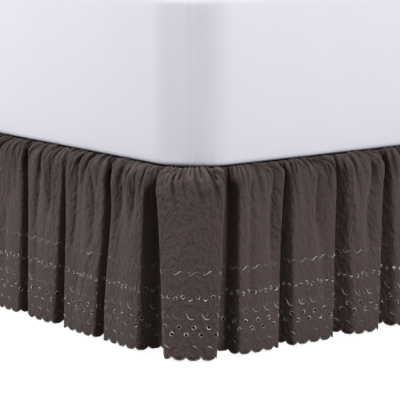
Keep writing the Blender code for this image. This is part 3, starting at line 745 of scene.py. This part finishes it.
# All stitching of one width as one mesh. The strength of a painted glint is drawn for each stitch; on
# a ring it is the cube of the cosine from two random directions.
def stitchingMesh(name, patch, seed):
    draw = np.random.default_rng(seed)
    repeat = border["repeat"]
    starts = dict(zip(("notch", "tip"), notchesAndTips(patch)))
    parts = []

    def clearOfEnds(u):
        return (u.min(1) > stitch["clearOfEnds"]) & (u.max(1) < patch["length"] - stitch["clearOfEnds"])

    # a ring of satin stitch round each eyelet
    turn = np.radians(np.arange(0, 360, 30))
    half = stitch["ring"] / 2
    for height, centre, shift, hole in eyeletsOf(patch):
        middle = hole * stitch["ringFrom"] + half
        u = centre[:, None] - middle * np.sin(turn)
        v = (height + shift)[:, None] + middle * np.cos(turn)
        # painted glints: one or two glinting arcs round each ring, at random directions and sizes
        glints = draw.uniform(0, 2 * math.pi, (len(u), 2, 1))
        sizes = draw.uniform(0.2, 1.3, (len(u), 2, 1))
        paintedGlint = np.clip((sizes * np.maximum(np.cos(turn - glints), 0) ** 3).sum(1) + 0.04, 0, 1)
        parts.append(raisedStrokes(patch, u, v, half, stitch["rise"], ringProfile, paintedGlint, closed=True))

    # the leaf, stem and scroll strokes
    for origin, path, width, paintedGlintLevel in strokes:
        path = smoothPath(np.array(path) / 1000, 9)
        start = starts[origin]
        shift = draw.normal(0, stitch["jitter"], (2, len(start)))
        u = start[:, None] + path[:, 0] + shift[0][:, None]
        v = path[:, 1] + shift[1][:, None]
        taper = np.sin(np.linspace(0.12, math.pi - 0.12, path.shape[0])) ** 0.6
        inside = clearOfEnds(u)
        # painted glints: a strength for each stroke, varied along it
        paintedGlint = paintedGlintLevel * draw.uniform(0.25, 1.15, (len(start), 1)) ** 2
        paintedGlint = np.clip(paintedGlint * draw.uniform(0.5, 1.2, u.shape), 0, 1)[inside]
        half = (width / 1000 * taper * draw.uniform(0.8, 1.2, (len(start), 1)))[inside]
        parts.append(raisedStrokes(patch, u[inside], v[inside], half, stitch["rise"], archProfile, paintedGlint))

    # small straight stitches round the eyelets and between the rows
    def dashes(centreU, centreV, radius, angles, size):
        shape = (len(centreU), len(angles))
        angle = np.radians(np.asarray(angles, float))[None, :] + draw.normal(0, 0.12, shape)
        reach = radius + draw.normal(0, stitch["dashJitter"], shape)
        u0 = centreU[:, None] + reach * np.cos(angle)
        v0 = np.reshape(centreV, (-1, 1)) + reach * np.sin(angle)
        tilt = angle + math.pi / 2 + draw.normal(0, 0.5, shape)
        step = np.array([-0.5, 0.0, 0.5]) * size
        u = (u0[..., None] + step * np.cos(tilt)[..., None]).reshape(-1, 3)
        v = (v0[..., None] + step * np.sin(tilt)[..., None]).reshape(-1, 3)
        keep = (draw.uniform(0, 1, len(u)) < stitch["dashesKept"]) & clearOfEnds(u)
        # painted glints: a strength for each small stitch
        paintedGlint = np.repeat(draw.uniform(0, 1, (len(u), 1)) ** 1.7, 3, axis=1)[keep]
        half = np.array([0.45, 1.0, 0.45]) * stitch["dashWidth"]
        parts.append(raisedStrokes(patch, u[keep], v[keep], half, stitch["dashRise"], ridgeProfile, paintedGlint))

    for origin, *spray in sprays:
        dashes(starts[origin], *spray)
    for count, lowest, highest, size in strewn:
        along = draw.uniform(0.002, patch["length"] - 0.002, count * patch["repeats"])
        dashes(along, draw.uniform(lowest, highest, len(along)), 0.001, (0,), size)

    # stitched edge along the scallops, its notches softened
    u = np.arange(16 * patch["repeats"] + 1) * repeat / 16
    soft = repeat / 22
    v = (hemRise(u - soft) + 2 * hemRise(u) + hemRise(u + soft)) / 4 + stitch["edgeWidth"] * 0.4
    # a few painted glints along the edge
    glint = np.clip(1.1 * draw.uniform(0, 1, u.shape) ** 7, 0, 0.6)
    parts.append(raisedStrokes(
        patch, u[None], v[None], stitch["edgeWidth"], stitch["rise"], tubeProfile, glint[None]))

    points, faces, uv, paintedGlint = zip(*parts)
    before = np.cumsum([0] + [len(p) for p in points[:-1]])
    faces = [f + count for f, count in zip(faces, before)]
    return meshPiece(
        name, np.concatenate(points), faces, stitchThread, np.concatenate(uv), np.concatenate(paintedGlint))


trim = foldShape["widthsGap"] / 2
joint = [{"top": folds["top"][k], "hem": folds["hem"][k], "trim": trim} for k in folds["joints"]]
headLeft, headRight = ({"top": end, "hem": end, "trim": 0.0} for end in (0.0, seamLength))
widths = {  # its two ends, repeats of the border, seed, and which way its pleats slant
    "left": (headLeft, joint[0], 80, 11, 1.0),
    "foot": (joint[0], joint[1], 55, 47, -1.0),
    "right": (joint[1], headRight, 81, 83, -1.0),
}
for side, (first, last, repeats, seed, slant) in widths.items():
    patch = clothPatch(first, last, repeats, seed, slant)
    ruffle = ruffleMesh("ruffle_cloth_" + side, patch)
    stitching = stitchingMesh("stitching_" + side, patch, seed)
    for piece in (ruffle, stitching):
        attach(piece, "root")
    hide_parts("ruffle_" + side)
    print("ruffle", side, repeats, "faces", len(ruffle.data.polygons), len(stitching.data.polygons))


# The bed: mattress, platform sheet, foundation and legs

# Distances round the outline, closer together at the corners.
def outlineStations(cornerStep, straightStep):
    stations = []
    start = 0.0
    for length in (sideStraight, cornerArc, footStraight, cornerArc) * 2:
        step = cornerStep if length == cornerArc else straightStep
        stations.append(start + np.linspace(0, length, round(length / step), endpoint=False))
        start += length
    return np.concatenate(stations)


# Rings of the outline, one for each level (height, inset, share). The inset moves the ring inwards,
# and past the round corners the share draws it to the middle of the bed.
def ringStack(stations, levels):
    point, normal = seamPath(stations)
    levels = np.asarray(levels, float)
    middle = np.array([0.0, bedMiddleY])
    rings = point[None] - normal[None] * levels[:, 1, None, None]
    rings = middle + (rings - middle) * levels[:, 2, None, None]
    heights = np.broadcast_to(levels[:, 0, None, None], rings.shape[:2] + (1,))
    return np.concatenate([rings, heights], axis=-1), normal


# A mesh of rings, closed by one point in the middle of the highest ring and, but for a flat sheet, of
# the lowest.
def closedStack(name, points, material, sheet=False):
    rows, columns = points.shape[:2]
    lowest, highest = points[0].mean(0), points[-1].mean(0)
    flat = np.concatenate([points.reshape(-1, 3), [lowest, highest]])
    i = np.arange(columns)
    j = (i + 1) % columns
    low = np.stack([np.full(columns, rows * columns), j, i], -1)
    last = (rows - 1) * columns
    high = np.stack([np.full(columns, rows * columns + 1), last + i, last + j], -1)
    faces = [gridFaces(rows, columns, ring=True), high] + [low] * (not sheet)
    return meshPiece(name, flat, faces, material)


innermost = 0.118  # the largest inset of a ring, just less than the corners' radius
mattress = {  # lowRings: height and inset of the rings round the low edge
    "lowRings": [(0.0, 0.06), (0.0, 0.025), (0.0018, 0.012), (0.0045, 0.003), (0.0078, 0.0004)],
    "topEdge": 0.028, "seamGroove": 0.0010, "seamWidth": 0.0022, "ridgeAt": 0.007, "ridgeWidth": 0.004,
    "wave": 0.0011, "longWave": 0.16, "shortWave": 0.09, "shortShare": 0.6, "lean": 0.35, "level": 0.8,
    "elastic": 0.0005, "elasticStep": 0.009, "elasticAt": 0.008, "elasticWidth": 0.012,
}


# A fitted sheet over the mattress: its side bows a little, with a seam at each corner, small
# gathers at the elastic below and a soft round top edge.
def makeMattress():
    low, high = mattressLow.z, mattressHigh.z
    edge = mattress["topEdge"]
    levels = [(low, innermost, share) for share in (0.04, 0.3, 0.6, 0.85, 1.0)]
    levels += [(low + rise, inset, 1.0) for rise, inset in mattress["lowRings"]]
    levels += [(z, 0.0, 1.0) for z in np.linspace(low + 0.014, high - edge, 22)]
    for turn in np.radians(np.arange(10, 91, 10)):
        levels.append((high - edge * (1 - math.sin(turn)), edge * (1 - math.cos(turn)), 1.0))
    levels += [(high, inset, 1.0) for inset in (0.04, 0.055, 0.075, 0.095, innermost)]
    levels += [(high, innermost, share) for share in (0.93, 0.82, 0.68, 0.52, 0.36, 0.2, 0.06)]
    stations = outlineStations(0.0031, 0.011)
    points, normal = ringStack(stations, levels)
    height = points[..., 2]
    onSide = smoothStep((height - low) / 0.02) * smoothStep((high - height) / edge)
    wave = unevenWave(stations, mattress["longWave"], 5)[None, :] * (height - low) / (high - low)
    slanted = unevenWave(stations[None, :] + mattress["lean"] * height, mattress["shortWave"], 6)
    wave = wave + mattress["shortShare"] * slanted - mattress["level"]
    nearElastic = np.exp(-((height - low - mattress["elasticAt"]) / mattress["elasticWidth"]) ** 2)
    elastic = unevenWave(stations, mattress["elasticStep"], 7)[None, :] * nearElastic
    headCorner = rightCorner + cornerArc + sideStraight
    cornersAt = np.array([leftCorner, rightCorner, headCorner, headCorner + cornerArc + footStraight])
    away = np.min(np.abs(stations[:, None] - cornersAt), axis=1)[None, :]
    seam = -np.exp(-(away / mattress["seamWidth"]) ** 2) * mattress["seamGroove"]
    ridge = np.exp(-((away - mattress["ridgeAt"]) / mattress["ridgeWidth"]) ** 2)
    seam = seam + 0.5 * mattress["seamGroove"] * ridge
    relief = (wave * mattress["wave"] + elastic * mattress["elastic"] + seam) * onSide
    points[..., :2] += normal[None] * relief[..., None]
    return closedStack("mattress_sheet", points, sheetCloth)


foundation = {"inset": 0.006, "piping": 0.0042, "bow": 0.0016}


# A covered box: its side bows inwards between two lines of piping, drawn round its edges.
def makeFoundation():
    low, high = (corner.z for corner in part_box("foundation"))
    inset, cord = foundation["inset"], foundation["piping"]
    middle = [(innermost, share) for share in (0.04, 0.4, 0.8, 1.0)]
    middle += [(0.03, 1.0), (inset + 2.6 * cord, 1.0)]
    levels = [(low, *ring) for ring in middle]

    def piping(z):
        turns = np.radians(np.arange(-100, 101, 25))
        return [(z + cord * math.sin(t), inset + cord - cord * math.cos(t), 1.0) for t in turns]

    levels += piping(low + cord)
    for share in np.linspace(0.0, 1.0, 9):
        z = low + 3 * cord + (high - low - 6 * cord) * share
        levels.append((z, inset + cord * 0.55 + foundation["bow"] * math.sin(math.pi * share), 1.0))
    levels += piping(high - cord)
    levels += [(high, *ring) for ring in middle[::-1]]
    stations = outlineStations(0.012, 0.03)
    points, _ = ringStack(stations, levels)
    return closedStack("foundation_cover", points, tickingCloth)


platformThickness = 0.0011


# The sheet that the ruffle is sewn to: flat, a hair under the seam's height.
def makePlatform():
    low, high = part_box("platform")
    rings = [(0.0004, 1.0), (0.03, 1.0)] + [(innermost, share) for share in (1.0, 0.8, 0.5, 0.2, 0.03)]
    points, _ = ringStack(outlineStations(0.008, 0.02), [((low.z + high.z) / 2, *ring) for ring in rings])
    return thickened(closedStack("platform_sheet", points, platformCloth, sheet=True), platformThickness)


legShape = {  # radius at shares of the height, from the floor up, as a share of the top radius
    "profile": [
        (0.0, 0.60), (0.006, 0.66), (0.022, 0.67), (0.03, 0.64), (0.05, 0.655), (0.45, 0.79), (0.80, 0.93),
        (0.83, 0.96), (0.86, 0.90), (0.89, 0.96), (0.92, 0.99), (0.995, 0.99), (1.0, 0.96)],
    "sides": 40,
}


# A turned leg: its radius at each height is the profile's, carried round a circle.
def makeLeg(name):
    low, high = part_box(name)
    middle = (low + high) / 2
    radius = (high.x - low.x) / 2
    shares, radii = np.array(legShape["profile"]).T
    turn = np.arange(legShape["sides"]) * 2 * math.pi / legShape["sides"]
    x = middle.x + radius * radii[:, None] * np.cos(turn)
    y = middle.y + radius * radii[:, None] * np.sin(turn)
    z = np.broadcast_to(low.z + (high.z - low.z) * shares[:, None], x.shape)
    piece = closedStack(name.replace("leg", "turned_leg"), np.stack([x, y, z], -1), legWood)
    piece.data.set_sharp_from_angle(angle=math.radians(50))
    return piece


# Stained wood: a noise stretched along the leg is its grain.
def woodMaterial(name, rgb, darkRgb):
    material, tree, shader = shaderOf(name, 0.38)
    place = stretched(tree, placeOn(tree), (90.0, 90.0, 7.0))
    grain = noise(tree, place, Scale=1.0, Detail=6.0, Roughness=0.6, Distortion=1.2)
    feed(shader.inputs["Base Color"], mixColour(tree, grain, linear(darkRgb), linear(rgb)))
    feed(shader.inputs["Normal"], bump(tree, grain, 0.0004, 0.25))
    return material


legWood = woodMaterial("legWood", (104, 72, 48), (58, 38, 26))
bedPieces = [
    (makeMattress(), "mattress", "mattress_sheet"),
    (makePlatform(), "platform", "platform_cloth"),
    (makeFoundation(), "foundation", "foundation_cloth"),
]
legNames = [name for name in sorted(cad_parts) if name.startswith("leg_")]
bedPieces += [(makeLeg(name), name, "leg_wood") for name in legNames]
for piece, cadNode, slotName in bedPieces:
    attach(piece, "root")
    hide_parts(cadNode)
print("bed pieces", len(bedPieces))


# Camera, light and floor

view = {
    "fromCorner": (-2.386, -3.133), "height": 0.990, "heading": (0.6109, 0.7917), "pitch": 9.463,
    "lens": 180.0, "sensor": 36.0,
}
camera = placed("camera", bpy.data.cameras.new("camera"))
camera.data.lens = view["lens"]
camera.data.sensor_width = view["sensor"]
camera.data.clip_end = 60
fromX, fromY = view["fromCorner"]
camera.location = (mattressLow.x + fromX, mattressLow.y + fromY, view["height"])
pitch = math.radians(view["pitch"])
ahead = Vector((*(part * math.cos(pitch) for part in view["heading"]), -math.sin(pitch)))
camera.rotation_euler = ahead.to_track_quat("-Z", "Y").to_euler()
scene.camera = camera

lampsAim = Vector((0, -0.5, 0.2))
lamps = {
    "left": {"at": (-3.40, 0.95, 3.4), "size": 1.5, "power": 224},
    "right": {"at": (0.45, -4.26, 3.4), "size": 1.5, "power": 208},
    "unseenSide": {"at": (3.40, 2.40, 3.0), "size": 2.0, "power": 100},
}
for name, lamp in lamps.items():
    light = placed(name, bpy.data.lights.new(name, "AREA"))
    light.data.size = lamp["size"]
    light.data.energy = lamp["power"]
    light.location = lamp["at"]
    light.rotation_euler = (lampsAim - light.location).to_track_quat("-Z", "Y").to_euler()

studio = bpy.data.worlds.new("studio")
scene.world = studio
studio.use_nodes = True
sky = studio.node_tree
white = (1.0, 1.0, 1.0, 1.0)
backdrop = sky.nodes["Background"]
backdrop.inputs["Color"].default_value = white
softLight = node(sky, "Background", Color=white, Strength=0.09)
toCamera = node(sky, "LightPath").outputs["Is Camera Ray"]
shown = node(sky, "MixShader", toCamera, softLight.outputs[0], backdrop.outputs[0])
feed(sky.nodes["World Output"].inputs["Surface"], shown.outputs[0])
scene.view_settings.view_transform = "Standard"

# The floor looks white to the camera and throws back little light. In a box under the bed it stays
# grey, so that few eyelets show a bright floor.
floor = {
    "boxMiddle": (0.0475, bedMiddleY + 0.03, 0.0), "boxHalf": (0.4825, 0.9225, 0.0), "edge": (-0.05, 0.01),
    "grey": (0.28, 0.28, 0.28, 1.0), "white": (0.9, 0.9, 0.9, 1.0), "glow": 0.95, "reach": 12.0,
}
floorPaint, tree, shader = shaderOf("floorPaint", 0.9, specular=0.1)
away = maths(tree, "SUBTRACT", placeOn(tree), floor["boxMiddle"], kind="VectorMath")
away = maths(tree, "ABSOLUTE", away, kind="VectorMath")
away = maths(tree, "SUBTRACT", away, floor["boxHalf"], kind="VectorMath")
sides = node(tree, "SeparateXYZ", away).outputs
away = maths(tree, "MAXIMUM", sides[0], sides[1])
outside = node(tree, "MapRange", away, *floor["edge"], interpolation_type="SMOOTHSTEP").outputs[0]
seen = maths(tree, "MULTIPLY", outside, node(tree, "LightPath").outputs["Is Camera Ray"])
feed(shader.inputs["Base Color"], mixColour(tree, seen, floor["grey"], floor["white"]))
feed(shader.inputs["Emission Color"], white)
feed(shader.inputs["Emission Strength"], maths(tree, "MULTIPLY", seen, floor["glow"]))
corners = floor["reach"] * np.array([(-1, -1, 0), (1, -1, 0), (1, 1, 0), (-1, 1, 0)])
ground = meshPiece("ground", corners, [np.array([[0, 1, 2, 3]])], floorPaint)
